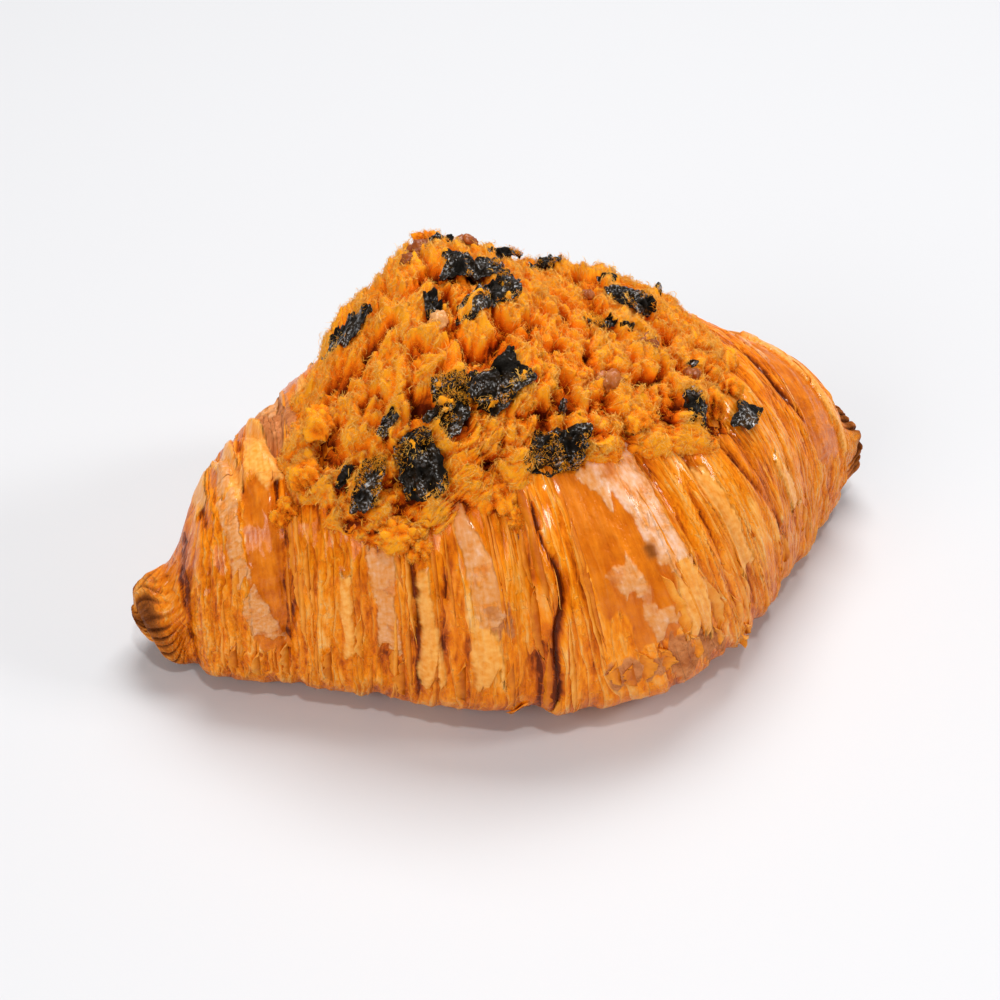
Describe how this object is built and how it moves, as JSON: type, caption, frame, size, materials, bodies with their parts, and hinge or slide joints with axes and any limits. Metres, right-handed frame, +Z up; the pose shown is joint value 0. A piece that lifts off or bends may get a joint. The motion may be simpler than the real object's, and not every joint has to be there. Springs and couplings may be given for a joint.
{
  "type": "filled croissant with meat floss and seaweed",
  "caption": "Plump laminated croissant with pinched tips, its ridge heaped with shredded meat floss and torn pieces of roasted seaweed.",
  "frame": {"origin": "on the resting plane, below the middle of the object's box", "axes": "+X along the roll towards the thinner tip, -Y towards the fuller side, +Z up"},
  "size_m": [0.163, 0.1072, 0.0805],
  "materials": {
    "crust": "glazed flaky crust",
    "floss": "dry fine fibres",
    "seaweed": "satin, crinkled"
  },
  "bodies": {
    "root": {"croissant": "crust", "floss_heap": "floss", "seaweed_01": "seaweed", "seaweed_02": "seaweed", "seaweed_03": "seaweed", "seaweed_04": "seaweed", "seaweed_05": "seaweed", "seaweed_06": "seaweed", "seaweed_07": "seaweed", "seaweed_08": "seaweed", "seaweed_09": "seaweed", "seaweed_10": "seaweed", "seaweed_11": "seaweed", "seaweed_12": "seaweed", "seaweed_13": "seaweed", "seaweed_14": "seaweed", "seaweed_15": "seaweed", "seaweed_16": "seaweed"}
  },
  "joints": []
}
